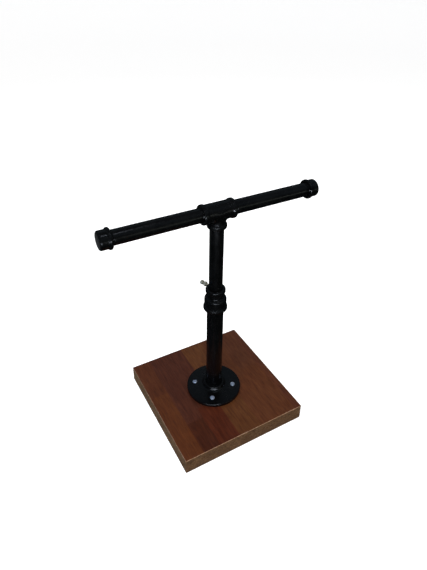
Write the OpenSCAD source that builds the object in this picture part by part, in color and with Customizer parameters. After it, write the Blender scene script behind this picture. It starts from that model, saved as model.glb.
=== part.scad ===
// Height-adjustable T-bar stand built from screwed iron pipe and fittings on a
// square laminate-topped base board. All sizes are in millimetres. The origin
// is on the surface it stands on, under the middle of the board. +Z is up and
// +X runs along the bar.

/* [Base board] */
// Side of the square base board
board_side = 216; // [190:1:240]
// Thickness of the board with its laminate and its backing sheet
board_t = 28; // [26:1:38]
// Thickness of the wood-pattern laminate on top
laminate_t = 0.8; // [0.5:0.1:1.2]
// Thickness of the plain backing sheet underneath
backing_t = 0.6; // [0.4:0.1:1]
// Diameter of each stick-on felt pad
pad_d = 22; // [16:1:30]
// Thickness of each stick-on felt pad
pad_t = 2; // [1:0.5:4]
// Distance from the board's edges to the middle of each pad
pad_inset = 20; // [16:1:30]

/* [Floor flange] */
// Diameter of the flange
flange_d = 92; // [86:1:96]
// Thickness of the flange at its rim
flange_rim_t = 5.9; // [4:0.1:6.5]
// Height of the hub above the board
hub_h = 14.5; // [14:0.5:22]
// Diameter of the circle through the four screws
screw_circle_d = 65.4; // [63:0.2:68]
// Turn of the first screw from the +X axis, in degrees
screw_turn_deg = 56.85; // [0:0.05:90]
// Diameter of a flange screw's head
screw_head_d = 7.8; // [7:0.1:8.6]

/* [Pipes] */
// Outside diameter of the fixed lower pipe
wide_pipe_d = 26.4; // [26.2:0.1:27]
// Bore of the fixed lower pipe
wide_pipe_bore = 22; // [21.8:0.1:22.4]
// Outside diameter of the sliding post and of the arms
slim_pipe_d = 21.3; // [21.1:0.1:21.4]
// Bore of the sliding post and of the arms
slim_pipe_bore = 16.1; // [15:0.1:17]
// Length of the sliding post
post_len = 225; // [180:1:228]

/* [Collar] */
// Height of the collar's lower end above the board
collar_up = 173.8; // [150:0.2:180]
// Length of the reducing collar
collar_len = 39.5; // [38:0.5:44]
// Heading of the locking screw from the +X axis, in degrees
lock_deg = 111; // [90:1:180]
// Distance from the post's axis to the locking screw's outer end
lock_reach = 29; // [28:0.5:32]

/* [Bar] */
// Height of the bar's axis above the board, at mid travel
bar_up = 344.2; // [320:0.2:350]
// Length of the bar over its two end caps
bar_len = 343.5; // [300:0.5:380]
// Half of the tee's length along the bar
tee_half = 26.5; // [24:0.5:30]
// Distance from the bar's axis to the tee's lower end
tee_drop = 25; // [23:0.5:28]
// Length of an end cap
cap_len = 17.5; // [16:0.5:22]

/* [Hidden] */

$fn = 72;

iron_black = "#141416";
zinc = "#9aa0a8";

// Gap left between two screwed parts, and round the sliding post
screwed_gap = 0.05;
sliding_gap = 0.07;
// Amount by which a cutting shape runs past a face
past = 1;

// Heights above the table
board_top = pad_t + board_t;
core_low = pad_t + backing_t;
core_high = board_top - laminate_t;
collar_low = board_top + collar_up;
collar_high = collar_low + collar_len;
bar_z = board_top + bar_up;
tee_low = bar_z - tee_drop;

// Radii of the pipes
wide_r = wide_pipe_d / 2;
slim_r = slim_pipe_d / 2;

// Flange and its screws
flange_r = flange_d / 2;
hub_r_low = 18.6;
hub_r_high = 17.5;
flange_web_t = 7.2;
screw_hole_r = 3.1;
screw_r = 2.1;
screw_len = 22;
screw_head_h = 2.4;
recess_w = 0.9;
recess_len = 4.2;
recess_depth = 1.3;
pipe_off_board = 3.5;

// Collar
thread_depth = 15;
collar_bead_r = 18.9;
collar_bead_w = 7;
collar_body_r = 17.3;
collar_neck_r = 13.2;
collar_top_r = 15.5;
collar_top_w = 8.5;

// Locking screw: a size 4 socket cap screw, its nut and its pressure pad
lock_z = collar_high - 3;
lock_hole_r = 2.05;
lock_screw_r = 2;
lock_head_r = 3.5;
lock_head_h = 4;
lock_pad_r = 1.95;
lock_pad_in = slim_r + 0.05;
lock_pad_out = lock_pad_in + 2;
lock_key_w = 3;
lock_key_depth = 2.2;
nut_in = 18.8;
nut_w = 7;
nut_t = 3.2;

// Tee, arms and caps
tee_bead_r = 14.9;
tee_bead_w = 7.5;
tee_body_r = 13.6;
tee_neck_r = 12.8;
fitting_engage = 13;
cap_bead_r = 15;
cap_bead_w = 5;
cap_body_r = 13.3;
cap_wall = 3.3;
arm_start = tee_half - fitting_engage;
arm_end = bar_len / 2 - cap_wall;

// Points of a quarter round about [x, y], from angle start on
function corner(x, y, r, start) =
    [for (turn = [0:22.5:90]) [x + r * cos(start + turn), y + r * sin(start + turn)]];

// Point k of the four on a circle, k = 0 to 3
function on_circle(r, start, k) = [r * cos(start + 90 * k), r * sin(start + 90 * k)];

// Plain tube along +Z
module tube(r, bore_r, low, high) {
    difference() {
        translate([0, 0, low]) cylinder(r = r, h = high - low);
        translate([0, 0, low - past]) cylinder(r = bore_r, h = high - low + 2 * past);
    }
}

// Turns +Z to the bar's axis, towards side * X, at the bar's height
module along_bar(side) {
    translate([0, 0, bar_z]) rotate([0, 90 * side, 0]) children();
}

// Turns +Z to the locking screw's axis, outwards from the post
module along_lock() {
    translate([0, 0, lock_z]) rotate([0, 0, lock_deg]) rotate([0, 90, 0]) children();
}

// Regular hexagon, w across its flats
module hexagon(w) {
    circle(r = w / 2 / cos(30), $fn = 6);
}

// Base board ---------------------------------------------------------------

module sheet(low, high) {
    translate([-board_side / 2, -board_side / 2, low]) cube([board_side, board_side, high - low]);
}

module pilot_holes() {
    for (k = [0:3]) {
        translate(concat(on_circle(screw_circle_d / 2, screw_turn_deg, k), [board_top - 20])) {
            cylinder(r = screw_r + screwed_gap, h = 20 + past);
        }
    }
}

module board_core() {
    color("#8a7350") difference() {
        sheet(core_low, core_high);
        pilot_holes();
    }
}

module top_laminate() {
    color("#6b3a22") difference() {
        sheet(core_high, board_top);
        pilot_holes();
    }
}

module backing_sheet() {
    color("#5d564c") sheet(pad_t, core_low);
}

module felt_pad(k) {
    reach = (board_side / 2 - pad_inset) * sqrt(2);
    color("#2a2a2c") translate(concat(on_circle(reach, 45, k), [0])) {
        cylinder(d = pad_d, h = pad_t);
    }
}

// Floor flange -------------------------------------------------------------

module floor_flange() {
    rim_round = 1.5;
    foot_fillet = 3;
    bore_r = wide_r + screwed_gap;
    outline = concat(
        [[bore_r, 0], [flange_r, 0]],
        corner(flange_r - rim_round, flange_rim_t - rim_round, rim_round, 0),
        [for (turn = [270:-22.5:180])
            [hub_r_low + foot_fillet + foot_fillet * cos(turn),
             flange_web_t + foot_fillet + foot_fillet * sin(turn)]],
        corner(hub_r_high - 1, hub_h - 1, 1, 0),
        [[bore_r, hub_h]]
    );
    color(iron_black) translate([0, 0, board_top]) difference() {
        rotate_extrude() polygon(outline);
        for (k = [0:3]) {
            translate(concat(on_circle(screw_circle_d / 2, screw_turn_deg, k), [-past])) {
                cylinder(r = screw_hole_r, h = flange_web_t + 2 * past);
            }
        }
    }
}

module flange_screw(k) {
    seat = board_top + flange_web_t - 0.4;
    tip = 4;
    head_r = screw_head_d / 2;
    outline = concat(
        [[0, -screw_len], [screw_r, tip - screw_len], [screw_r, 0], [head_r, 0], [head_r, 0.7]],
        [for (turn = [15:15:90]) [head_r * cos(turn), 0.7 + (screw_head_h - 0.7) * sin(turn)]]
    );
    color(zinc) translate(concat(on_circle(screw_circle_d / 2, screw_turn_deg, k), [seat])) {
        difference() {
            rotate_extrude() polygon(outline);
            for (turn = [0, 90]) {
                rotate([0, 0, turn + 20 * k])
                    translate([-recess_len / 2, -recess_w / 2, screw_head_h - recess_depth])
                        cube([recess_len, recess_w, recess_depth + past]);
            }
        }
    }
}

// Lower pipe and collar ----------------------------------------------------

module lower_pipe() {
    color(iron_black) {
        tube(wide_r, wide_pipe_bore / 2, board_top + pipe_off_board, collar_low + thread_depth);
    }
}

module reducing_collar() {
    wide_bore = wide_r + screwed_gap;
    slide_bore = slim_r + sliding_gap;
    round_low = 1.6;
    round_high = 1.8;
    neck_low = 27.5;
    neck_high = collar_len - collar_top_w - 1.5;
    outline = concat(
        [[wide_bore, 0]],
        corner(collar_bead_r - round_low, round_low, round_low, -90),
        corner(collar_bead_r - round_low, collar_bead_w - round_low, round_low, 0),
        [[collar_body_r, collar_bead_w + 0.6], [collar_body_r, 19.5], [collar_body_r - 0.9, 22.5],
         [collar_neck_r + 1.4, 25], [collar_neck_r, neck_low], [collar_neck_r, neck_high]],
        corner(collar_top_r - round_high, collar_len - collar_top_w + round_high, round_high, -90),
        corner(collar_top_r - round_high, collar_len - round_high, round_high, 0),
        [[slide_bore, collar_len], [slide_bore, 20], [wide_bore, thread_depth + 0.2]]
    );
    color(iron_black) difference() {
        translate([0, 0, collar_low]) rotate_extrude() polygon(outline);
        along_lock() translate([0, 0, slim_r - past]) cylinder(r = lock_hole_r, h = 10);
    }
}

// Lock ---------------------------------------------------------------------

module lock_pad() {
    color("#b08d3f") along_lock() {
        translate([0, 0, lock_pad_in]) cylinder(r = lock_pad_r, h = lock_pad_out - lock_pad_in);
    }
}

module lock_screw() {
    tip = 0.4;
    edge = 0.4;
    seat = lock_reach - lock_head_h;
    outline = [
        [0, lock_pad_out], [lock_screw_r - tip, lock_pad_out], [lock_screw_r, lock_pad_out + tip],
        [lock_screw_r, seat], [lock_head_r, seat], [lock_head_r, lock_reach - edge],
        [lock_head_r - edge, lock_reach], [0, lock_reach]
    ];
    color(zinc) along_lock() difference() {
        rotate_extrude() polygon(outline);
        translate([0, 0, lock_reach - lock_key_depth])
            linear_extrude(lock_key_depth + past) hexagon(lock_key_w);
    }
}

module lock_nut() {
    corner_r = nut_w / 2 / cos(30) + 0.05;
    flat_r = nut_w / 2 * 0.97;
    edge = 0.35;
    cheeks = [
        [0, 0], [flat_r, 0], [corner_r, edge], [corner_r, nut_t - edge], [flat_r, nut_t], [0, nut_t]
    ];
    color(zinc) along_lock() translate([0, 0, nut_in]) difference() {
        intersection() {
            linear_extrude(nut_t) hexagon(nut_w);
            rotate_extrude() polygon(cheeks);
        }
        translate([0, 0, -past]) cylinder(r = lock_hole_r, h = nut_t + 2 * past);
    }
}

// Sliding post and T-bar ---------------------------------------------------

module sliding_post() {
    top = tee_low + fitting_engage;
    color(iron_black) tube(slim_r, slim_pipe_bore / 2, top - post_len, top);
}

// Body of a fitting's arm: a core that ends in a rounded bead at its mouth
module beaded_arm(body_r, bead_r, bead_w, reach) {
    soft = 1.5;
    outline = concat(
        [[0, 0], [body_r, 0], [body_r, reach - bead_w - 0.5]],
        corner(bead_r - soft, reach - bead_w + soft, soft, -90),
        corner(bead_r - soft, reach - soft, soft, 0),
        [[0, reach]]
    );
    rotate_extrude() polygon(outline);
}

module tee() {
    slim_bore = slim_r + screwed_gap;
    waist_r = 9.4;
    color(iron_black) difference() {
        union() {
            for (side = [-1, 1]) along_bar(side) {
                beaded_arm(tee_body_r, tee_bead_r, tee_bead_w, tee_half);
            }
            translate([0, 0, bar_z]) rotate([180, 0, 0]) {
                beaded_arm(tee_neck_r, tee_bead_r - 0.2, tee_bead_w, tee_drop);
            }
        }
        for (side = [-1, 1]) along_bar(side) {
            translate([0, 0, arm_start - 0.1]) cylinder(r = slim_bore, h = fitting_engage + past);
            translate([0, 0, -0.5]) cylinder(r = waist_r, h = arm_start + 1);
        }
        translate([0, 0, tee_low - past]) cylinder(r = slim_bore, h = fitting_engage + past + 0.1);
        translate([0, 0, tee_low]) cylinder(r = waist_r, h = tee_drop);
    }
}

module arm(side) {
    color(iron_black) along_bar(side) tube(slim_r, slim_pipe_bore / 2, arm_start, arm_end);
}

module end_cap(side) {
    mouth = bar_len / 2 - cap_len;
    soft = 1.4;
    outline = concat(
        corner(cap_bead_r - soft, soft, soft, -90),
        corner(cap_bead_r - soft, cap_bead_w - soft, soft, 0),
        [[cap_body_r, cap_bead_w + 0.5]],
        corner(cap_body_r - soft, cap_len - soft, soft, 0),
        [[0, cap_len], [0, 0]]
    );
    color(iron_black) along_bar(side) translate([0, 0, mouth]) difference() {
        rotate_extrude() polygon(outline);
        translate([0, 0, -past]) {
            cylinder(r = slim_r + screwed_gap, h = cap_len - cap_wall + past + 0.05);
        }
    }
}

module left_arm() { arm(-1); }

module right_arm() { arm(1); }

module left_cap() { end_cap(-1); }

module right_cap() { end_cap(1); }

board_core();
top_laminate();
backing_sheet();
for (k = [0:3]) felt_pad(k);
floor_flange();
for (k = [0:3]) flange_screw(k);
lower_pipe();
reducing_collar();
lock_pad();
lock_screw();
lock_nut();
sliding_post();
tee();
left_arm();
right_arm();
left_cap();
right_cap();
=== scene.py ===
"""Looks for the pipe stand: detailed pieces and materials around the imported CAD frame.

Shapes are worked out in millimetres in the row frame, and turned to metres as a mesh is made.
"""

import math

import bmesh
import bpy
import numpy as np
from mathutils import Matrix, Vector, noise


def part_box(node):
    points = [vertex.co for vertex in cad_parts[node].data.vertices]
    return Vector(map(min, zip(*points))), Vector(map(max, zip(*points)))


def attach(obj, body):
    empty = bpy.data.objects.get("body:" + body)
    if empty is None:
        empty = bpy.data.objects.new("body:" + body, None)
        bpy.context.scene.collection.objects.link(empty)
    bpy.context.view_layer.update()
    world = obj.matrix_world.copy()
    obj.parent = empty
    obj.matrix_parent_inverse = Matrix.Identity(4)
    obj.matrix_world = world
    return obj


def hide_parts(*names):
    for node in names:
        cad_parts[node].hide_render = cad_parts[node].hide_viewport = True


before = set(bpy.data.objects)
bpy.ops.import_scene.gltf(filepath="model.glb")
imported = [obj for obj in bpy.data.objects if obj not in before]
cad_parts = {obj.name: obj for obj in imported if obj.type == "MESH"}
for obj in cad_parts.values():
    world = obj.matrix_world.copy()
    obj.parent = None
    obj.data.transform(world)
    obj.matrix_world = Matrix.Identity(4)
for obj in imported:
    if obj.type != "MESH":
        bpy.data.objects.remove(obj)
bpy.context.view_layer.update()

MM = 0.001
TURN = 2 * math.pi

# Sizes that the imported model's boxes don't give, in millimetres. R is for a radius, W for a
# width, T for a thickness and H for a height. Depths are from the mouth of a hole, LOCK_END and
# NUT_OUT are distances out from the post's axis, and PILOT_DEPTH is from the board's top.
SCREWED_GAP = 0.05
SLIDING_GAP = 0.07
MOUTH_FLARE = 1.2

WIDE_BORE_R = 11.0
SLIM_BORE_R = 8.05
PIPE_PITCH = 1.814
THREAD_DEPTH = 1.05
PIPE_SIDES = 96

TEE_RUN_R = 13.6
TEE_RUN_BEAD_R = 14.9
TEE_BRANCH_R = 12.8
TEE_BRANCH_BEAD_R = 14.7
TEE_BEAD_W = 7.5
TEE_SOCKET_DEPTH = 13.1
TEE_WATERWAY_R = 9.4
TEE_WATERWAY_START = 12
BEAD_SOFT = 2.6

COLLAR_BODY_R = 17.3
COLLAR_FOOT_R = 18.9
COLLAR_NECK_R = 13.2
COLLAR_TOP_R = 15.5
COLLAR_TOP_W = 8.5
COLLAR_CONE_LOW = 15.2
COLLAR_CONE_LEN = 4.8

CAP_WALL_R = 13.3
CAP_BEAD_R = 15.0
CAP_BEAD_W = 5
CAP_END_T = 3.25

PLATE_RIM_T = 5.9
HUB_FOOT_R = 18.6
HUB_DRAFT = 0.15
FLANGE_HOLE_R = 3.1
SCREW_CIRCLE_R = 32.7
SCREW_TURN = math.radians(56.85)
SCREW_HEAD_H = 2.4
PILOT_R = 2.15
PILOT_DEPTH = 20
PILOT_SIDES = 20

LOCK_HEADING = math.radians(111)
LOCK_HOLE_R = 2.05
LOCK_THREAD_R = 2.0
LOCK_PITCH = 0.7
LOCK_HEAD_R = 3.5
LOCK_HEAD_H = 4.0
LOCK_END = 29.0
LOCK_SOCKET_W = 3.0
LOCK_SOCKET_DEPTH = 2.2
LOCK_PAD_R = 1.95
LOCK_PAD_T = 2.0
LOCK_PAD_GAP = 0.05
NUT_OUT = 22.0
NUT_T = 3.2
NUT_W = 7.0

LAMINATE_T = 0.8
BOARD_SPACING = 1.0

# Angles in degrees past which an edge is left sharp
CAST_CREASE = 50
PIPE_CREASE = 35
SLAB_CREASE = 28
SMALL_CREASE = 35

# How far to each side a field's slope is measured, and a filled grid corner's value
SLOPE_REACH = 0.03
JUST_INSIDE = -1e-4


def node_box(node):
    """Lowest and highest corner of a CAD node, in millimetres."""
    low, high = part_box(node)
    return np.array(low) / MM, np.array(high) / MM


# ---------------------------------------------------------------- node helpers


class Shader:
    """A material's node tree, with short calls to add and join nodes."""

    def __init__(self, name):
        self.material = bpy.data.materials.new(name)
        self.material.use_nodes = True
        self.tree = self.material.node_tree
        self.surface = self.tree.nodes["Principled BSDF"]
        self.place = self.add("ShaderNodeTexCoord").outputs["Object"]

    def add(self, kind, inputs=None, **settings):
        """Adds a node. Each input is a value or another node's output."""
        node = self.tree.nodes.new(kind)
        for key, value in settings.items():
            setattr(node, key, value)
        for key, value in (inputs or {}).items():
            self.put(node.inputs[key], value)
        return node

    def put(self, socket, value):
        """Links an output to a socket, or sets the socket's own value."""
        if isinstance(value, bpy.types.NodeSocket):
            self.tree.links.new(value, socket)
        else:
            socket.default_value = value

    def set(self, **values):
        """Sets the surface shader's sockets; an underscore stands for a space."""
        for key, value in values.items():
            self.put(self.surface.inputs[key.replace("_", " ")], value)

    def math(self, operation, a, b=0.0, c=0.0):
        node = self.add("ShaderNodeMath", {0: a, 1: b, 2: c}, operation=operation)
        return node.outputs[0]

    def scaled(self, size):
        """Object coordinates, in metres, divided by a size in millimetres on each axis."""
        factor = [1 / (s * MM) for s in size]
        node = self.add("ShaderNodeMapping", {"Vector": self.place, "Scale": factor})
        return node.outputs["Vector"]

    def clouds(self, size, detail=3.0, roughness=0.5, warp=0.0):
        """Noise from 0 to 1 whose lumps measure about size millimetres on each axis."""
        inputs = {
            "Vector": self.scaled(size),
            "Scale": 1.0,
            "Detail": detail,
            "Roughness": roughness,
            "Distortion": warp,
        }
        return self.add("ShaderNodeTexNoise", inputs).outputs["Fac"]

    def cells(self, size, output="Color"):
        """Cells that measure about size millimetres: a colour for each, or their "Distance"."""
        inputs = {"Vector": self.scaled(size), "Scale": 1.0}
        return self.add("ShaderNodeTexVoronoi", inputs).outputs[output]

    def spread(self, value, low, high, to_low=0.0, to_high=1.0):
        """Maps low..high of value to to_low..to_high, clamped."""
        inputs = {
            "Value": value,
            "From Min": low,
            "From Max": high,
            "To Min": to_low,
            "To Max": to_high,
        }
        return self.add("ShaderNodeMapRange", inputs).outputs["Result"]

    def blend(self, factor, a, b, mode="MIX"):
        """Mixes two colours."""
        node = self.add("ShaderNodeMix", data_type="RGBA", blend_type=mode)
        self.put(node.inputs[0], factor)
        self.put(node.inputs[6], a)
        self.put(node.inputs[7], b)
        return node.outputs[2]

    def ramp(self, value, stops):
        """Colour ramp with stops of (place, colour)."""
        node = self.add("ShaderNodeValToRGB", {"Fac": value})
        ramp = node.color_ramp
        ramp.elements.remove(ramp.elements[1])
        ramp.elements[0].position = stops[0][0]
        ramp.elements[0].color = stops[0][1]
        for place, colour in stops[1:]:
            ramp.elements.new(place).color = colour
        return node.outputs["Color"]

    def bump(self, height, distance):
        """Bump from a height of 0 to 1, whose full depth is distance in millimetres."""
        inputs = {"Height": height, "Distance": distance * MM, "Strength": 1.0}
        return self.add("ShaderNodeBump", inputs).outputs["Normal"]


def rgb(red, green, blue):
    """Linear colour, from a colour on the usual 0 to 255 screen scale."""
    channels = []
    for level in (red, green, blue):
        level = level / 255
        low = level / 12.92
        high = ((level + 0.055) / 1.055) ** 2.4
        channels.append(low if level <= 0.04045 else high)
    return (*channels, 1.0)


# ------------------------------------------------------------------- materials


# Blocks of the laminate's printed wood: west, east, south and north edges in
# millimetres from the middle of the board, then the colour
LAMINATE_BLOCKS = [
    (-110, -77, -110, 24, (120, 67, 34)),
    (-110, -77, 24, 110, (115, 64, 37)),
    (-77, -12, -110, 110, (102, 56, 39)),
    (-77, -48, -110, -50, (93, 47, 27)),
    (-48, -12, -110, -30, (107, 51, 29)),
    (-12, 29, -110, 110, (124, 77, 42)),
    (29, 96, -110, 110, (122, 72, 42)),
    (62, 96, 10, 110, (120, 72, 46)),
    (96, 110, -110, 110, (119, 69, 46)),
]


def laminate_material():
    """Printed wood-strip laminate: grain and pores run along Y, and each strip has its tone."""
    shader = Shader("laminate")
    parts = shader.add("ShaderNodeSeparateXYZ", {0: shader.place})
    across = shader.math("DIVIDE", parts.outputs["X"], MM)
    along = shader.math("DIVIDE", parts.outputs["Y"], MM)
    tone = rgb(108, 62, 38)
    for west, east, south, north, colour in LAMINATE_BLOCKS:
        inside_x = shader.math("COMPARE", across, (west + east) / 2, (east - west) / 2)
        inside_y = shader.math("COMPARE", along, (south + north) / 2, (north - south) / 2)
        mask = shader.math("MULTIPLY", inside_x, inside_y)
        tone = shader.blend(mask, tone, rgb(*colour))
    # Each strip's grain is cut from another place in the pattern
    step = shader.add("ShaderNodeRGBToBW", {0: tone}).outputs[0]
    offset = shader.add("ShaderNodeCombineXYZ", {"X": shader.math("MULTIPLY", step, 37.0)})
    moved = shader.add("ShaderNodeVectorMath", {0: shader.place, 1: offset.outputs[0]}, operation="ADD")
    plain = shader.place
    shader.place = moved.outputs[0]
    figure = shader.clouds((5, 60, 60), detail=4, roughness=0.6, warp=0.6)
    grain = shader.clouds((2.0, 26, 26), detail=5, roughness=0.75, warp=0.2)
    pores = shader.clouds((0.7, 12, 12), detail=3, roughness=0.6)
    ribbon = shader.clouds((16, 24, 24), detail=3, roughness=0.55, warp=1.5)
    shader.place = plain
    light = shader.blend(shader.spread(figure, 0.35, 0.7), rgb(206, 195, 190), rgb(238, 238, 238))
    tone = shader.blend(0.75, tone, light, "MULTIPLY")
    streak = shader.blend(shader.spread(grain, 0.34, 0.66), rgb(160, 140, 128), rgb(255, 255, 255))
    tone = shader.blend(0.85, tone, streak, "MULTIPLY")
    glow = shader.blend(shader.spread(ribbon, 0.45, 0.75), rgb(128, 128, 128), rgb(146, 134, 122))
    tone = shader.blend(0.4, tone, glow, "OVERLAY")
    pore = shader.spread(pores, 0.60, 0.70)
    tone = shader.blend(shader.math("MULTIPLY", pore, 0.45), tone, rgb(46, 24, 16))
    rough = shader.spread(grain, 0.2, 0.8, 0.40, 0.52)
    height = shader.math("SUBTRACT", shader.math("MULTIPLY", grain, 0.5), shader.math("MULTIPLY", pore, 0.6))
    shader.set(Base_Color=tone, Roughness=rough, Normal=shader.bump(height, 0.05))
    shader.set(Specular_IOR_Level=0.35)
    return shader.material


def chip_material(name, body, flake, glue, paler):
    """Sawn chipboard: flat wood particles, finer towards both faces, in dark glue."""
    shader = Shader(name)
    coarse = shader.cells((3.2, 3.2, 0.9))
    fine = shader.cells((1.1, 1.1, 0.45))
    gaps = shader.cells((3.2, 3.2, 0.9), "Distance")
    fibre = shader.clouds((5, 5, 0.25), detail=4, roughness=0.6)
    stain = shader.clouds((26, 26, 14), detail=3, roughness=0.6)
    flake_tone = shader.ramp(
        shader.add("ShaderNodeSeparateColor", {0: coarse}).outputs[0],
        [(0.0, glue), (0.25, body), (0.6, flake), (0.85, paler), (1.0, body)],
    )
    speck_tone = shader.ramp(
        shader.add("ShaderNodeSeparateColor", {0: fine}).outputs[1],
        [(0.0, glue), (0.3, body), (0.75, flake), (1.0, paler)],
    )
    tone = shader.blend(0.45, flake_tone, speck_tone)
    tone = shader.blend(shader.spread(gaps, 0.35, 0.75, 0.0, 0.5), tone, glue)
    grain = shader.blend(shader.spread(fibre, 0.3, 0.7), rgb(190, 182, 172), rgb(255, 255, 255))
    tone = shader.blend(0.7, tone, grain, "MULTIPLY")
    soil = shader.blend(shader.spread(stain, 0.35, 0.7), rgb(205, 198, 188), rgb(255, 255, 255))
    tone = shader.blend(0.7, tone, soil, "MULTIPLY")
    height = shader.math("SUBTRACT", fibre, shader.math("MULTIPLY", gaps, 0.8))
    shader.set(Base_Color=tone, Roughness=0.86, Normal=shader.bump(height, 0.25))
    shader.set(Specular_IOR_Level=0.2)
    return shader.material


def black_material(name, grit, gloss):
    """Thin black coat on iron, with grit in millimetres and scattered specks of pale dust."""
    shader = Shader(name)
    peel = shader.clouds((grit, grit, grit), detail=3, roughness=0.55)
    smear = shader.clouds((14, 14, 22), detail=4, roughness=0.6, warp=0.8)
    speck = shader.clouds((0.5, 0.5, 0.5), detail=1, roughness=0.4)
    deep, worn = (0.0010, 0.0010, 0.0011, 1), (0.0026, 0.0026, 0.0027, 1)
    tone = shader.blend(shader.spread(smear, 0.3, 0.7), deep, worn)
    dust = shader.spread(speck, 0.74, 0.80, 0.0, 0.35)
    tone = shader.blend(dust, tone, (0.06, 0.058, 0.054, 1))
    coat = shader.spread(smear, 0.25, 0.75, gloss - 0.05, gloss + 0.09)
    rough = shader.math("ADD", coat, shader.math("MULTIPLY", dust, 0.3))
    shader.set(Base_Color=tone, Roughness=rough, Normal=shader.bump(peel, 0.018))
    shader.set(Specular_IOR_Level=0.4)
    return shader.material


def metal_material(name, low, high, rough, scratch, metallic=1.0):
    """Plated steel with fine marks and a cloudy tarnish."""
    shader = Shader(name)
    cloud = shader.clouds((1.2, 1.2, 1.2), detail=4, roughness=0.6)
    marks = shader.clouds(scratch, detail=3, roughness=0.6)
    tone = shader.blend(shader.spread(cloud, 0.35, 0.68), low, high)
    tarnish = shader.spread(cloud, 0.3, 0.7, rough + 0.08, rough - 0.04)
    roughness = shader.math("ADD", tarnish, shader.math("MULTIPLY", marks, 0.08))
    shader.set(Base_Color=tone, Metallic=metallic, Roughness=roughness)
    shader.set(Normal=shader.bump(marks, 0.012))
    return shader.material


def felt_material():
    """Dark felt: fine tangled hair over soft lumps."""
    shader = Shader("felt")
    hair = shader.clouds((0.25, 0.25, 0.8), detail=4, roughness=0.7, warp=1.0)
    lump = shader.clouds((2.5, 2.5, 2.5), detail=2)
    tone = shader.blend(shader.spread(hair, 0.35, 0.7), (0.012, 0.012, 0.013, 1), (0.045, 0.044, 0.043, 1))
    height = shader.math("ADD", hair, shader.math("MULTIPLY", lump, 0.5))
    shader.set(Base_Color=tone, Roughness=0.95, Normal=shader.bump(height, 0.2))
    shader.set(Sheen_Weight=0.3, Specular_IOR_Level=0.1)
    return shader.material


def backing_material():
    """Plain balancing sheet, dark and slightly mottled, with sanding marks."""
    shader = Shader("backing")
    cloud = shader.clouds((9, 9, 9), detail=4, roughness=0.6)
    sand = shader.clouds((40, 0.6, 4), detail=3, roughness=0.6)
    tone = shader.blend(shader.spread(cloud, 0.3, 0.7), rgb(92, 78, 62), rgb(118, 101, 80))
    tone = shader.blend(shader.spread(sand, 0.55, 0.75, 0.0, 0.4), tone, rgb(140, 124, 100))
    shader.set(Base_Color=tone, Roughness=0.7, Normal=shader.bump(sand, 0.03))
    shader.set(Specular_IOR_Level=0.3)
    return shader.material


MATERIALS = {
    "laminate": laminate_material(),
    "laminate_edge": chip_material(
        "laminate_edge", rgb(206, 164, 132), rgb(226, 184, 152), rgb(150, 108, 82), rgb(238, 206, 180)
    ),
    "chipboard": chip_material(
        "chipboard", rgb(112, 81, 50), rgb(134, 99, 64), rgb(74, 50, 31), rgb(160, 124, 88)
    ),
    "backing": backing_material(),
    "felt": felt_material(),
    "cast_black": black_material("cast_black", 0.8, 0.22),
    "pipe_black": black_material("pipe_black", 0.5, 0.20),
    "zinc": metal_material(
        "zinc", (0.46, 0.54, 0.72, 1), (0.74, 0.83, 1.0, 1), 0.24, (0.12, 0.8, 0.8), 0.80
    ),
    "zinc_dull": metal_material(
        "zinc_dull", (0.24, 0.235, 0.185, 1), (0.46, 0.45, 0.37, 1), 0.38, (0.15, 0.5, 0.5), 0.35
    ),
    "brass": metal_material(
        "brass", (0.42, 0.28, 0.10, 1), (0.62, 0.44, 0.18, 1), 0.32, (0.1, 0.6, 0.6)
    ),
}


# ---------------------------------------------------------------- mesh helpers


def add_piece(name, mesh, materials, body, slot, crease):
    """Makes a smooth-shaded piece that rides on a body and stands for the node of its name."""
    for material in materials:
        mesh.materials.append(MATERIALS[material])
    mesh.shade_smooth()
    mesh.set_sharp_from_angle(angle=math.radians(crease))
    piece = bpy.data.objects.new("look_" + name, mesh)
    bpy.context.scene.collection.objects.link(piece)
    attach(piece, body)
    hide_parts(name)


def new_piece(name, points, faces, slot, body, crease=CAST_CREASE):
    """Makes a piece from points in millimetres, in the material that its slot is named after."""
    mesh = bpy.data.meshes.new(name)
    mesh.from_pydata((np.asarray(points) * MM).tolist(), [], [tuple(f) for f in faces])
    mesh.validate()
    add_piece(name, mesh, [slot], body, slot, crease)


def lumps(points, size, seed):
    """Smooth noise of about -1 to 1 at each point."""
    shift = Vector((13.7 * seed, -7.1 * seed, 3.3 * seed))
    scaled = (np.asarray(points) / size).tolist()
    return np.array([noise.noise(Vector(p) + shift) for p in scaled])


def slope_of(shape, points):
    """Gradient of a shape's field."""
    slope = np.empty_like(points)
    for axis in range(3):
        ahead = points.copy()
        behind = points.copy()
        ahead[:, axis] += SLOPE_REACH
        behind[:, axis] -= SLOPE_REACH
        slope[:, axis] = (shape(ahead) - shape(behind)) / (2 * SLOPE_REACH)
    return slope


def settle(value):
    """Fills a corner of each grid square whose signs alternate, which would pinch the net so
    that four faces met at one edge. The inside only grows, so this ends."""
    while True:
        filled = 0
        for axis in range(3):
            first, second = (axis + 1) % 3, (axis + 2) % 3
            corners = {}
            for near in (0, 1):
                for far in (0, 1):
                    window = [slice(None)] * 3
                    window[first] = slice(near, near + value.shape[first] - 1)
                    window[second] = slice(far, far + value.shape[second] - 1)
                    corners[near, far] = value[tuple(window)]
            for near in (0, 1):
                one, other = corners[near, 0], corners[1 - near, 1]
                left, right = corners[1 - near, 0], corners[near, 1]
                pinched = (one >= 0) & (other >= 0) & (left < 0) & (right < 0)
                filled += pinched.sum()
                nearer = one <= other
                one[pinched & nearer] = JUST_INSIDE
                other[pinched & ~nearer] = JUST_INSIDE
        if not filled:
            return


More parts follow.
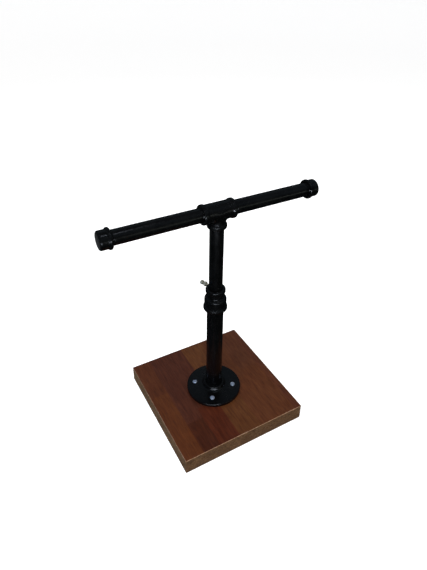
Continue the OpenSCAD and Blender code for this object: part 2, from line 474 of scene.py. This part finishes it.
def crossing_points(value, low, step):
    """One point in each grid cell that the surface runs through, and the number of each cell."""
    cells = np.array(value.shape) - 1
    total = np.zeros((*cells, 3))
    hits = np.zeros(cells)
    for axis in range(3):
        first, second = (axis + 1) % 3, (axis + 2) % 3
        start = value.take(range(0, cells[axis]), axis)
        end = value.take(range(1, cells[axis] + 1), axis)
        crossed = (start < 0) != (end < 0)
        gap = np.where(crossed, start - end, 1.0)
        part = np.where(crossed, start / gap, 0.0)
        for near in (0, 1):
            for far in (0, 1):
                window = [slice(0, n) for n in cells]
                window[first] = slice(near, near + cells[first])
                window[second] = slice(far, far + cells[second])
                hit = crossed[tuple(window)]
                hits += hit
                total[..., axis] += part[tuple(window)]
                total[..., first] += near * hit
                total[..., second] += far * hit
    used = hits > 0
    number = np.full(cells, -1)
    number[used] = np.arange(used.sum())
    corner = np.stack(np.nonzero(used), axis=1)
    points = low + step * (corner + total[used] / hits[used][:, None])
    return points, number


def crossing_faces(value, number):
    """A face round each grid edge that the surface cuts, turned outwards."""
    faces = []
    for axis in range(3):
        first, second = (axis + 1) % 3, (axis + 2) % 3
        count = value.shape[axis] - 1
        start = value.take(range(0, count), axis)
        end = value.take(range(1, count + 1), axis)
        for leaving in (True, False):
            cut = (start < 0) & (end >= 0) if leaving else (start >= 0) & (end < 0)
            at = np.stack(np.nonzero(cut), axis=1)
            ring = []
            for near, far in ((-1, -1), (0, -1), (0, 0), (-1, 0)):
                cell = at.copy()
                cell[:, first] += near
                cell[:, second] += far
                ring.append(number[tuple(cell.T)])
            quads = np.stack(ring, axis=1)
            faces.append(quads if leaving else quads[:, ::-1])
    return np.concatenate(faces)


def surface_net(shape, low, high, step, lump=0.0, lump_size=7.0, seed=1):
    """Quads on the surface where a shape's field is zero, inside a box."""
    low = np.asarray(low, float) - 2.5 * step
    high = np.asarray(high, float) + 2.5 * step
    counts = np.ceil((high - low) / step).astype(int) + 1
    axes = [low[k] + step * np.arange(counts[k]) for k in range(3)]
    grid = np.stack(np.meshgrid(*axes, indexing="ij"), axis=-1)
    value = np.array(shape(grid))
    settle(value)
    points, number = crossing_points(value, low, step)
    faces = crossing_faces(value, number)
    for _ in range(4):
        slope = slope_of(shape, points)
        size = np.maximum((slope**2).sum(axis=1), 0.2)
        move = -(shape(points) / size)[:, None] * slope
        reach = np.linalg.norm(move, axis=1, keepdims=True)
        points = points + move * np.minimum(1.0, 0.6 * step / np.maximum(reach, 1e-9))
    if lump:
        slope = slope_of(shape, points)
        slope /= np.maximum(np.linalg.norm(slope, axis=1, keepdims=True), 1e-9)
        wave = lumps(points, lump_size, seed) + 0.5 * lumps(points, lump_size / 2.7, seed + 5)
        points = points + lump * wave[:, None] * slope
    return points, faces


def melt(a, b, soft):
    """Union of two fields, with a fillet of about soft where they meet."""
    part = np.clip(0.5 + 0.5 * (b - a) / soft, 0, 1)
    return b + (a - b) * part - soft * part * (1 - part)


def trim(a, b, soft):
    """Intersection of two fields, with the edge rounded by about soft."""
    return -melt(-a, -b, soft)


def band(radial, along, radius, low, high, soft):
    """Disc about an axis, from low to high along it, with rounded edges."""
    out = radial - (radius - soft)
    up = np.abs(along - (low + high) / 2) - ((high - low) / 2 - soft)
    outside = np.hypot(np.maximum(out, 0), np.maximum(up, 0))
    return outside + np.minimum(np.maximum(out, up), 0) - soft


def thread_radius(along, angle, pitch, root, crest):
    """Radius of a right-hand thread at a place along its axis and an angle round it, with
    slanted flanks and slightly flat roots and crests."""
    phase = along / pitch - angle / TURN
    tooth = np.abs(phase - np.floor(phase) - 0.5) * 2
    return root + (crest - root) * np.clip(1.25 * tooth - 0.12, 0, 1)


# -------------------------------------------------------------- shared measures

core_low, core_high = node_box("board_core")
laminate_low, laminate_high = node_box("top_laminate")
backing_low, backing_high = node_box("backing_sheet")
flange_low, flange_high = node_box("floor_flange")
wide_low, wide_high = node_box("lower_pipe")
collar_low, collar_high = node_box("reducing_collar")
post_low, post_high = node_box("sliding_post")
tee_low, tee_high = node_box("tee")
arm_low, arm_high = node_box("right_arm")
cap_low, cap_high = node_box("right_cap")
nut_low, nut_high = node_box("lock_nut")

BOARD_TOP = laminate_high[2]
HALF_SIDE = laminate_high[0]
FLANGE_R = flange_high[0]
HUB_TOP = flange_high[2] - BOARD_TOP
WIDE_R = wide_high[0]
SLIM_R = post_high[0]
COLLAR_LEN = collar_high[2] - collar_low[2]
BAR_Z = (arm_low[2] + arm_high[2]) / 2
TEE_HALF = tee_high[0]
TEE_DROP = BAR_Z - tee_low[2]
CAP_MOUTH = cap_low[0]
CAP_LEN = cap_high[0] - cap_low[0]
LOCK_Z = (nut_low[2] + nut_high[2]) / 2
SCREW_BORE_WIDE = WIDE_R + SCREWED_GAP
SCREW_BORE_SLIM = SLIM_R + SCREWED_GAP


def screw_place(k):
    """Place of a flange screw and its holes, from above."""
    turn = SCREW_TURN + k * TURN / 4
    return SCREW_CIRCLE_R * math.cos(turn), SCREW_CIRCLE_R * math.sin(turn)


def lock_place(points):
    """Place outwards along the lock's axis, and across it sideways and up."""
    x, y, z = points[..., 0], points[..., 1], points[..., 2]
    out = x * math.cos(LOCK_HEADING) + y * math.sin(LOCK_HEADING)
    side = -x * math.sin(LOCK_HEADING) + y * math.cos(LOCK_HEADING)
    return out, side, z - LOCK_Z


# -------------------------------------------------------------------- castings


def tee_shape(points):
    """Malleable tee: run along X, branch down, a bead round each mouth."""
    x, y, z = points[..., 0], points[..., 1], points[..., 2] - BAR_Z
    run = np.hypot(y, z)
    stem = np.hypot(x, y)
    shape = band(run, x, TEE_RUN_R, -TEE_HALF + 1, TEE_HALF - 1, 1.0)
    branch = band(stem, -z, TEE_BRANCH_R, -2, TEE_DROP - 1, 1.0)
    shape = melt(shape, branch, 4.5)
    bead = band(run, np.abs(x), TEE_RUN_BEAD_R, TEE_HALF - TEE_BEAD_W, TEE_HALF, BEAD_SOFT)
    shape = melt(shape, bead, 1.3)
    bead = band(stem, -z, TEE_BRANCH_BEAD_R, TEE_DROP - TEE_BEAD_W, TEE_DROP, BEAD_SOFT)
    shape = melt(shape, bead, 1.3)
    # The room inside: a socket and a waterway along the run, then the same down the branch
    mouth = np.clip(np.abs(x) - (TEE_HALF - MOUTH_FLARE), 0, 2)
    socket = run - SCREW_BORE_SLIM - mouth
    room = np.maximum(socket, TEE_HALF - TEE_SOCKET_DEPTH - np.abs(x))
    waterway = np.maximum(run - TEE_WATERWAY_R, np.abs(x) - TEE_HALF + TEE_WATERWAY_START)
    room = np.minimum(room, waterway)
    mouth = np.clip(-z - (TEE_DROP - MOUTH_FLARE), 0, 2)
    socket = stem - SCREW_BORE_SLIM - mouth
    room = np.minimum(room, np.maximum(socket, z + TEE_DROP - TEE_SOCKET_DEPTH))
    room = np.minimum(room, np.maximum(stem - TEE_WATERWAY_R, z))
    return trim(shape, -room, 0.35)


def collar_shape(points):
    """Reducing collar: wide below, narrow bead above, with the tapped lock hole."""
    x, y, z = points[..., 0], points[..., 1], points[..., 2] - collar_low[2]
    radial = np.hypot(x, y)
    shape = band(radial, z, COLLAR_BODY_R, 1.5, 23.2, 4.0)
    shape = melt(shape, band(radial, z, COLLAR_FOOT_R, 0, 7, 2.6), 0.5)
    shape = melt(shape, band(radial, z, COLLAR_NECK_R, 12, 36, 1.0), 1.6)
    top_low = COLLAR_LEN - COLLAR_TOP_W
    shape = melt(shape, band(radial, z, COLLAR_TOP_R, top_low, COLLAR_LEN, 2.5), 0.8)
    # The bore: the wide pipe's socket, a cone, and the hole that the post slides in
    post_hole = SLIM_R + SLIDING_GAP
    lower = SCREW_BORE_WIDE + np.clip(MOUTH_FLARE - z, 0, 2)
    upper = post_hole + np.clip(z - (COLLAR_LEN - 0.8), 0, 2)
    cone = SCREW_BORE_WIDE + (z - COLLAR_CONE_LOW) / COLLAR_CONE_LEN * (post_hole - SCREW_BORE_WIDE)
    bore = np.where(z < COLLAR_CONE_LOW + COLLAR_CONE_LEN, cone, upper)
    bore = np.where(z < COLLAR_CONE_LOW, lower, bore)
    shape = trim(shape, bore - radial, 0.3)
    out, side, height = lock_place(points)
    hole = LOCK_HOLE_R - np.hypot(side, height)
    return trim(shape, np.minimum(hole, out), 0.15)


def flange_shape(points):
    """Floor flange: a round plate with four holes, and a hub with a filleted foot."""
    x, y, z = points[..., 0], points[..., 1], points[..., 2] - BOARD_TOP
    radial = np.hypot(x, y)
    slant = PLATE_RIM_T + (FLANGE_R - 1.5 - radial) * 1.3 / 21.4
    plate = trim(radial - FLANGE_R, z - slant, 1.9)
    hub = trim(radial - HUB_FOOT_R + (z - 7.2) * HUB_DRAFT, z - HUB_TOP, 2.0)
    shape = np.maximum(melt(plate, hub, 4.5), -z)
    mouth = np.clip(z - (HUB_TOP - MOUTH_FLARE), 0, 2)
    shape = trim(shape, SCREW_BORE_WIDE + mouth - radial, 0.35)
    for k in range(4):
        screw_x, screw_y = screw_place(k)
        shape = trim(shape, FLANGE_HOLE_R - np.hypot(x - screw_x, y - screw_y), 0.8)
    return shape


def cap_shape(side):
    """Cap on one end of the bar: a bead at its mouth and a slightly crowned end."""

    def shape_of(points):
        along = side * points[..., 0] - CAP_MOUTH
        radial = np.hypot(points[..., 1], points[..., 2] - BAR_Z)
        shape = band(radial, along, CAP_WALL_R, 1, CAP_LEN + 2, 1.0)
        crown = along - (CAP_LEN - 0.005 * radial**2)
        shape = trim(shape, crown, 2.6)
        shape = melt(shape, band(radial, along, CAP_BEAD_R, 0, CAP_BEAD_W, 2.0), 1.2)
        mouth = np.clip(MOUTH_FLARE - along, 0, 2)
        room = np.maximum(radial - SCREW_BORE_SLIM - mouth, along - (CAP_LEN - CAP_END_T))
        return trim(shape, -room, 0.35)

    return shape_of


def make_castings():
    tee = surface_net(tee_shape, tee_low, tee_high, 0.55, lump=0.018, seed=1)
    new_piece("tee", *tee, "cast_black", "head")
    collar = surface_net(collar_shape, collar_low, collar_high, 0.5, lump=0.022, seed=2)
    new_piece("reducing_collar", *collar, "cast_black", "base")
    flange = surface_net(flange_shape, flange_low, flange_high, 0.7, lump=0.03, seed=3)
    new_piece("floor_flange", *flange, "cast_black", "base")
    for name, side, seed in (("left_cap", -1, 4), ("right_cap", 1, 5)):
        low, high = node_box(name)
        cap = surface_net(cap_shape(side), low, high, 0.5, lump=0.035, seed=seed)
        new_piece(name, *cap, "cast_black", "head")


# ------------------------------------------------------------------ small parts


def flange_screw_shape(k):
    """Pan head with a tapered cross recess, on a shank with a coarse thread and a point."""
    middle = screw_place(k)
    low, high = node_box(f"flange_screw_{k + 1}")
    seat = high[2] - SCREW_HEAD_H
    head_r = (high[0] - low[0]) / 2
    twist = math.radians(20 * k)

    def shape_of(points):
        x, y = points[..., 0] - middle[0], points[..., 1] - middle[1]
        z = points[..., 2] - seat
        radial = np.hypot(x, y)
        dome = np.hypot(radial / head_r, np.maximum(z - 0.7, 0) / 1.7) * 1.9 - 1.9
        head = trim(dome, -z, 0.25)
        angle = np.arctan2(y, x)
        point = np.clip((z + 22) / 4, 0, 1)
        shank = radial - thread_radius(z, angle, 1.9, 1.55, 2.1) * point
        shank = trim(shank, z - 0.5, 0.2)
        shape = melt(head, shank, 0.3)
        # The cross: two slots that narrow as they go down, u and v lying along them
        u = x * math.cos(twist) + y * math.sin(twist)
        v = -x * math.sin(twist) + y * math.cos(twist)
        depth = np.clip((z - 0.9) / 1.5, 0, 1.2)
        arm = 0.5 + 1.65 * depth
        wide = 0.32 + 0.24 * depth
        slot_u = np.maximum(np.abs(u) - arm, np.abs(v) - wide)
        slot_v = np.maximum(np.abs(v) - arm, np.abs(u) - wide)
        cross = np.minimum(np.minimum(slot_u, slot_v), radial - 0.75 * depth - 0.2)
        cross = np.maximum(cross, 0.9 - z)
        return trim(shape, -cross, 0.12)

    return shape_of


def hexagon(side, height, flats):
    """Field of a hexagonal bar about the lock's axis."""
    shape = np.abs(height)
    for turn in (TURN / 6, -TURN / 6):
        shape = np.maximum(shape, np.abs(side * math.sin(turn) + height * math.cos(turn)))
    return shape - flats / 2


def lock_screw_shape(points):
    """Socket cap screw: thread with a cup point, and a round head with a hexagonal socket."""
    out, side, height = lock_place(points)
    radial = np.hypot(side, height)
    start = SLIM_R + SCREWED_GAP + LOCK_PAD_T
    seat = LOCK_END - LOCK_HEAD_H
    thread = radial - thread_radius(out, np.arctan2(height, side), LOCK_PITCH, 1.55, LOCK_THREAD_R)
    shape = trim(thread, np.maximum(out - seat - 0.5, start - out), 0.12)
    shape = np.maximum(shape, (radial - 1.45 - (out - start)) * 0.7)
    shape = melt(shape, band(radial, out, LOCK_HEAD_R, seat, LOCK_END, 0.45), 0.25)
    floor = LOCK_END - LOCK_SOCKET_DEPTH
    socket = np.maximum(hexagon(side, height, LOCK_SOCKET_W), floor - out)
    socket = np.minimum(socket, (radial - 1.9 + (LOCK_END - out) * 1.6) * 0.6)
    return trim(shape, -socket, 0.12)


def lock_nut_shape(points):
    """Small nut with both faces' corners turned off and the hole's edges countersunk."""
    out, side, height = lock_place(points)
    radial = np.hypot(side, height)
    middle = NUT_OUT - NUT_T / 2
    shape = trim(hexagon(side, height, NUT_W), np.abs(out - middle) - NUT_T / 2, 0.15)
    edge = NUT_T / 2 - np.abs(out - middle)
    shape = trim(shape, (radial - NUT_W * 0.485 - 1.9 * edge) * 0.47, 0.12)
    bore = LOCK_HOLE_R + np.clip(0.4 - edge, 0, 1)
    return trim(shape, bore - radial, 0.12)


def lock_pad_shape(points):
    """Pressure pad, which stops just short of the lock screw's point."""
    out, side, height = lock_place(points)
    start = SLIM_R + SCREWED_GAP
    end = start + LOCK_PAD_T - LOCK_PAD_GAP
    return band(np.hypot(side, height), out, LOCK_PAD_R, start, end, 0.25)


def felt_pad_shape(middle, radius):
    """Round pad from the floor to the board's underside."""

    def shape_of(points):
        radial = np.hypot(points[..., 0] - middle[0], points[..., 1] - middle[1])
        return band(radial, points[..., 2], radius, 0, backing_low[2], 0.45)

    return shape_of


def make_small_parts():
    for k in range(4):
        name = f"flange_screw_{k + 1}"
        low, high = node_box(name)
        screw = surface_net(flange_screw_shape(k), low, high, 0.2)
        new_piece(name, *screw, "zinc", "base", SMALL_CREASE)
    small = (
        ("lock_screw", lock_screw_shape, "zinc_dull", "screw", 0.14),
        ("lock_nut", lock_nut_shape, "zinc_dull", "nut", 0.16),
        ("lock_pad", lock_pad_shape, "brass", "pad", 0.16),
    )
    for name, shape, slot, body, step in small:
        low, high = node_box(name)
        net = surface_net(shape, low, high, step)
        new_piece(name, *net, slot, body, SMALL_CREASE)
    for k in range(4):
        name = f"felt_pad_{k + 1}"
        low, high = node_box(name)
        shape = felt_pad_shape((low + high) / 2, (high[0] - low[0]) / 2)
        pad = surface_net(shape, low, high, 0.6, lump=0.06, lump_size=1.6, seed=k + 20)
        pad[0][:, 2] = np.clip(pad[0][:, 2], 0, backing_low[2])
        new_piece(name, *pad, "felt", "base")


# ----------------------------------------------------------------------- pipes


def pipe(radius, bore, low, high, threads, seed):
    """Pipe along +Z with bevelled ends. threads lists (where the thread's full depth ends,
    where it has run out); each thread goes on to the nearer end of the pipe."""
    stations = set(np.round(np.arange(low + 6, high - 5, 6.0), 3).tolist())
    for full, gone in threads:
        end = low if abs(full - low) < abs(full - high) else high
        first, last = sorted((end, gone))
        stations |= set(np.round(np.arange(first, last + 0.2, 0.2), 3).tolist())
    stations = np.array(sorted(s for s in stations if low + 0.6 < s < high - 0.6))
    outer = [(radius - 0.9, low), (radius - 0.15, low + 0.6)]
    outer += [(radius, s) for s in stations]
    outer += [(radius - 0.15, high - 0.6), (radius - 0.9, high)]
    inner = [(bore + 0.4, high), (bore, high - 0.5)]
    inner += [(bore, s) for s in np.linspace(high - 6, low + 6, 12)]
    inner += [(bore, low + 0.5), (bore + 0.4, low)]
    outline = np.array(outer + inner)
    angle = np.linspace(0, TURN, PIPE_SIDES, endpoint=False)
    ring_r = np.repeat(outline[None, :, 0], PIPE_SIDES, axis=0)
    ring_z = np.repeat(outline[None, :, 1], PIPE_SIDES, axis=0)
    ring_a = np.repeat(angle[:, None], len(outline), axis=1)
    outside = np.zeros(len(outline), bool)
    outside[1 : len(outer) - 1] = True
    for full, gone in threads:
        share = np.clip((ring_z - gone) / (full - gone), 0, 1)
        cut = THREAD_DEPTH * share
        tooth = thread_radius(ring_z, ring_a, PIPE_PITCH, radius - cut, radius - 0.12 * share)
        ring_r = np.where(outside[None, :] & (share > 0), np.minimum(ring_r, tooth), ring_r)
    points = np.stack([ring_r * np.cos(ring_a), ring_r * np.sin(ring_a), ring_z], axis=-1)
    flat = points.reshape(-1, 3)
    wave = lumps(flat / [1, 1, 4], 9.0, seed) * 0.05
    flat[:, :2] *= (1 + wave / radius)[:, None]
    count = len(outline)
    faces = []
    for turn in range(PIPE_SIDES):
        this, after = turn * count, (turn + 1) % PIPE_SIDES * count
        for k in range(count):
            ahead = (k + 1) % count
            faces.append((this + k, after + k, after + ahead, this + ahead))
    return flat, faces


def lay_along_bar(points, side):
    """Turns +Z to the bar's axis, towards side * X, at the bar's height."""
    x, y, z = points[:, 0], points[:, 1], points[:, 2]
    return np.stack([side * z, side * y, BAR_Z - x], axis=1)


def make_pipes():
    low, high = wide_low[2], wide_high[2]
    hub = BOARD_TOP + HUB_TOP
    threads = [(hub - 1.5, hub + 1.4), (collar_low[2] + 1.5, collar_low[2] - 0.8)]
    lower = pipe(WIDE_R, WIDE_BORE_R, low, high, threads, 31)
    new_piece("lower_pipe", *lower, "pipe_black", "base", PIPE_CREASE)
    low, high = post_low[2], post_high[2]
    threads = [(tee_low[2] + 1.5, tee_low[2] - 0.6)]
    post = pipe(SLIM_R, SLIM_BORE_R, low, high, threads, 32)
    new_piece("sliding_post", *post, "pipe_black", "post", PIPE_CREASE)
    low, high = arm_low[0], arm_high[0]
    threads = [(TEE_HALF - 1.5, TEE_HALF + 2.6), (CAP_MOUTH + 1.5, CAP_MOUTH - 2.8)]
    for name, side, seed in (("left_arm", -1, 33), ("right_arm", 1, 34)):
        points, faces = pipe(SLIM_R, SLIM_BORE_R, low, high, threads, seed)
        new_piece(name, lay_along_bar(points, side), faces, "pipe_black", "head", PIPE_CREASE)


# ----------------------------------------------------------------------- board


def board_loop(half):
    """Points round a square of that half side, and the outward direction at each."""
    steps = int(round(2 * half / BOARD_SPACING))
    run = np.linspace(-half, half, steps, endpoint=False)
    sides = [
        np.stack([run, np.full(steps, -half)], axis=1),
        np.stack([np.full(steps, half), run], axis=1),
        np.stack([-run, np.full(steps, half)], axis=1),
        np.stack([np.full(steps, -half), -run], axis=1),
    ]
    loop = np.concatenate(sides)
    out = np.repeat([[0, -1], [1, 0], [0, 1], [-1, 0]], steps, axis=0).astype(float)
    for corner in range(4):
        out[corner * steps] = out[corner * steps] + out[corner * steps - 1]
    return loop, out


def hole_loop(bm, k, z):
    """Ring of points round a flange screw's pilot hole, at one height."""
    x, y = screw_place(k)
    ring = []
    for s in range(PILOT_SIDES):
        angle = TURN * s / PILOT_SIDES
        place = (x + PILOT_R * math.cos(angle), y + PILOT_R * math.sin(angle), z)
        ring.append(bm.verts.new(Vector(place) * MM))
    return ring


def edges_round(bm, ring):
    return [bm.edges.get(pair) or bm.edges.new(pair) for pair in zip(ring, ring[1:] + ring[:1])]


def wall(bm, lower, upper):
    """Faces between two rings that have as many points as each other."""
    for a, b, c, d in zip(lower, lower[1:] + lower[:1], upper[1:] + upper[:1], upper):
        bm.faces.new((a, b, c, d))


def fill(bm, rings, material):
    """Flat face inside the first ring, with the other rings as holes in it."""
    edges = [e for ring in rings for e in edges_round(bm, ring)]
    made = bmesh.ops.triangle_fill(bm, use_beauty=True, edges=edges)
    for face in made["geom"]:
        if isinstance(face, bmesh.types.BMFace):
            face.material_index = material


def slab(name, rows, holes, materials, slot, faces=(0, 0)):
    """Closed slab from loops of points, bottom to top, with the first material round its edge.
    holes is None or the depth of the four pilot holes below the top. faces says which of the
    materials the bottom and the top have."""
    bm = bmesh.new()
    rings = [[bm.verts.new(Vector(p) * MM) for p in row] for row in rows]
    for lower, upper in zip(rings, rings[1:]):
        wall(bm, lower, upper)
    top, bottom = rows[-1][0][2], rows[0][0][2]
    above, below = [rings[-1]], [rings[0]]
    if holes is not None:
        for k in range(4):
            upper = hole_loop(bm, k, top)
            lower = hole_loop(bm, k, max(bottom, top - holes))
            wall(bm, upper, lower)
            above.append(upper)
            if top - holes > bottom:
                bm.faces.new(lower)
            else:
                below.append(lower)
    fill(bm, above, faces[1])
    fill(bm, below, faces[0])
    bmesh.ops.recalc_face_normals(bm, faces=bm.faces)
    mesh = bpy.data.meshes.new(name)
    bm.to_mesh(mesh)
    bm.free()
    add_piece(name, mesh, materials, "base", slot, SLAB_CREASE)


def shifted_row(loop, out, inward, z):
    """The loop at height z, each point moved in from the edge by its own amount."""
    row = loop - out * np.asarray(inward)[:, None]
    return np.column_stack([row, np.full(len(row), z)])


def make_board():
    loop, out = board_loop(HALF_SIDE)
    # Raw sawn core: torn particles and faint saw marks
    heights = np.linspace(core_low[2], core_high[2], 36)
    rows = []
    for z in heights:
        place = np.column_stack([loop, np.full(len(loop), z)])
        torn = lumps(place / [1, 1, 0.35], 1.6, 41) * 0.14 + lumps(place, 6.0, 42) * 0.08
        marks = lumps(place * [1, 1, 0.02], 1.3, 43) * 0.04
        inward = np.clip(0.16 - torn - marks, 0, 0.5)
        rows.append(shifted_row(loop, out, inward, z))
    slab("board_core", rows, PILOT_DEPTH - LAMINATE_T, ["chipboard"], "chipboard")
    # Laminate: chipped where the saw crossed it, cleaner along the other two edges
    across = np.abs(out[:, 1]) > np.abs(out[:, 0])
    place = np.column_stack([loop, np.full(len(loop), BOARD_TOP)])
    chip = np.clip(lumps(place, 2.2, 51) * 0.9 + lumps(place, 0.9, 52) * 0.5, 0, 1)
    ease = np.where(across, 0.35, 0.14) + chip * np.where(across, 0.45, 0.12)
    rows = [
        shifted_row(loop, out, np.full(len(loop), 0.05), laminate_low[2]),
        shifted_row(loop, out, 0.05 + ease * 0.12, BOARD_TOP - 0.42),
        shifted_row(loop, out, 0.05 + ease * 0.55, BOARD_TOP - 0.12),
        shifted_row(loop, out, 0.05 + ease, BOARD_TOP),
    ]
    slab("top_laminate", rows, PILOT_DEPTH, ["laminate_edge", "laminate"], "laminate", (0, 1))
    # Backing sheet: small chips along its lower edge
    place = np.column_stack([loop, np.full(len(loop), backing_low[2])])
    chip = np.clip(lumps(place, 1.8, 61) * 0.8, 0, 1) * 0.4
    rows = [
        shifted_row(loop, out, 0.12 + chip, backing_low[2]),
        shifted_row(loop, out, 0.06 + chip * 0.4, backing_low[2] + 0.25),
        shifted_row(loop, out, np.full(len(loop), 0.04), backing_high[2]),
    ]
    slab("backing_sheet", rows, None, ["backing"], "backing")


# ------------------------------------------------------------ floor, light, view

CAMERA_AT = (-0.30207, -0.51744, 0.68899)
CAMERA_HEADING = -29.84
CAMERA_DOWN = 30.69
CAMERA_ROLL = 0.959
CAMERA_LENS = 30.745
CAMERA_SHIFT = -0.0850

# Name, place, point it faces, width, height, watts, colour, and the rays that see it:
# soft light falls on matt surfaces only, and a glint shows only in reflections
LIGHTS = [
    ("key_soft", (-0.9, -0.7, 1.6), (0, 0, 0.1), 1.3, 1.3, 26, (1.0, 0.98, 0.95), "soft"),
    ("fill_soft", (1.2, -0.6, 1.1), (0, 0, 0.15), 1.2, 1.2, 8, (1.0, 1.0, 1.0), "soft"),
    ("back_soft", (0.3, 1.4, 1.2), (0, 0, 0.2), 1.2, 0.9, 7, (0.94, 0.97, 1.0), "soft"),
    ("left_soft", (-1.3, 0.1, 0.22), (0, 0, 0.05), 0.7, 0.4, 7.0, (0.20, 0.50, 1.0), "soft"),
    ("window_low", (-0.73, -1.25, 0.08), (0, 0, 0.2), 1.3, 0.08, 12.0, (0.80, 0.88, 1.0), "glint"),
    ("window_high", (0.10, -0.35, 1.45), (-0.16, 0, 0.37), 0.13, 0.13, 0.3, (0.78, 0.86, 1.0), "glint"),
    ("floor_back", (-0.33, 0.62, 0.004), (-0.33, 0.62, 1), 0.4, 0.4, 0.05, (0.9, 0.96, 1.0), "glint"),
    ("room_low", (0.62, -1.25, 0.32), (0, 0, 0.3), 0.9, 0.16, 0.5, (0.9, 1.0, 0.92), "glint"),
]


def make_lights():
    """Hangs the lights, none of which the camera sees."""
    for name, place, target, width, height, power, colour, kind in LIGHTS:
        lamp = bpy.data.lights.new(name, "AREA")
        lamp.shape = "RECTANGLE"
        lamp.size = width
        lamp.size_y = height
        lamp.energy = power
        lamp.color = colour
        holder = bpy.data.objects.new(name, lamp)
        holder.location = place
        aim = Vector(target) - Vector(place)
        holder.rotation_euler = aim.to_track_quat("-Z", "Y").to_euler()
        holder.visible_camera = False
        holder.visible_glossy = kind == "glint"
        holder.visible_diffuse = kind == "soft"
        bpy.context.scene.collection.objects.link(holder)


FLOOR_SIDES = 96
# Radius and height of each ring of the floor, in metres
FLOOR_RINGS = [(0.4, 0), (1.2, 0), (2.6, 0), (3.4, 0.06), (4.0, 0.35), (4.3, 0.9)]


def floor_material():
    """Pale matt floor with a glow that only the camera sees, so that it comes out near white."""
    material = bpy.data.materials.new("floor")
    material.use_nodes = True
    tree = material.node_tree
    tree.nodes.clear()
    new = tree.nodes.new
    link = tree.links.new
    diffuse = new("ShaderNodeBsdfDiffuse")
    diffuse.inputs["Color"].default_value = (0.80, 0.80, 0.80, 1)
    glow = new("ShaderNodeEmission")
    glow.inputs["Color"].default_value = (1, 1, 1, 1)
    level = new("ShaderNodeMath")
    level.operation = "MULTIPLY"
    level.inputs[1].default_value = 0.75
    link(new("ShaderNodeLightPath").outputs["Is Camera Ray"], level.inputs[0])
    link(level.outputs[0], glow.inputs["Strength"])
    both = new("ShaderNodeAddShader")
    link(diffuse.outputs[0], both.inputs[0])
    link(glow.outputs[0], both.inputs[1])
    link(both.outputs[0], new("ShaderNodeOutputMaterial").inputs["Surface"])
    return material


def make_floor():
    """Wide pale floor, with a soft rise at its far rim."""
    bm = bmesh.new()
    rings = []
    for radius, z in FLOOR_RINGS:
        ring = []
        for s in range(FLOOR_SIDES):
            angle = TURN * s / FLOOR_SIDES
            ring.append(bm.verts.new((radius * math.cos(angle), radius * math.sin(angle), z)))
        rings.append(ring)
    bm.faces.new(rings[0])
    for inner, outer in zip(rings, rings[1:]):
        wall(bm, outer, inner)
    mesh = bpy.data.meshes.new("floor")
    bm.to_mesh(mesh)
    bm.free()
    mesh.shade_smooth()
    mesh.materials.append(floor_material())
    floor = bpy.data.objects.new("floor", mesh)
    floor.visible_glossy = False
    bpy.context.scene.collection.objects.link(floor)


def make_world():
    """Pale studio: white behind the object, even light on matt surfaces, and for reflections
    a dark room whose ceiling is dimly lit."""
    world = bpy.data.worlds.new("studio")
    bpy.context.scene.world = world
    world.use_nodes = True
    tree = world.node_tree
    new = tree.nodes.new
    link = tree.links.new
    path = new("ShaderNodeLightPath")
    heading = new("ShaderNodeSeparateXYZ")
    link(new("ShaderNodeTexCoord").outputs["Generated"], heading.inputs[0])
    room = new("ShaderNodeValToRGB")
    room.color_ramp.interpolation = "EASE"
    low, high = room.color_ramp.elements
    low.position, low.color = 0.1, (0.011, 0.015, 0.016, 1)
    high.position, high.color = 0.68, (0.095, 0.125, 0.155, 1)
    room.color_ramp.elements.new(1.0).color = (0.030, 0.038, 0.050, 1)
    link(heading.outputs["Z"], room.inputs["Fac"])
    inside = new("ShaderNodeMix")
    inside.data_type = "RGBA"
    inside.inputs[6].default_value = (0.22, 0.22, 0.22, 1)
    link(path.outputs["Is Glossy Ray"], inside.inputs[0])
    link(room.outputs["Color"], inside.inputs[7])
    seen = new("ShaderNodeMix")
    seen.data_type = "RGBA"
    seen.inputs[7].default_value = (1.02, 1.02, 1.02, 1)
    link(path.outputs["Is Camera Ray"], seen.inputs[0])
    link(inside.outputs[2], seen.inputs[6])
    link(seen.outputs[2], tree.nodes["Background"].inputs["Color"])


def make_camera():
    """Puts the camera where the photo's edges say that it stood."""
    lens = bpy.data.cameras.new("camera")
    lens.lens = CAMERA_LENS
    lens.sensor_width = 36
    lens.shift_y = CAMERA_SHIFT
    lens.clip_start = 0.01
    camera = bpy.data.objects.new("camera", lens)
    turn = Matrix.Rotation(math.radians(CAMERA_HEADING), 4, "Z")
    tilt = Matrix.Rotation(math.radians(90 - CAMERA_DOWN), 4, "X")
    roll = Matrix.Rotation(math.radians(CAMERA_ROLL), 4, "Z")
    camera.matrix_world = Matrix.Translation(CAMERA_AT) @ turn @ tilt @ roll
    bpy.context.scene.collection.objects.link(camera)
    bpy.context.scene.camera = camera


make_castings()
make_small_parts()
make_pipes()
make_board()
make_floor()
make_world()
make_lights()
make_camera()
bpy.context.scene.view_settings.view_transform = "Standard"
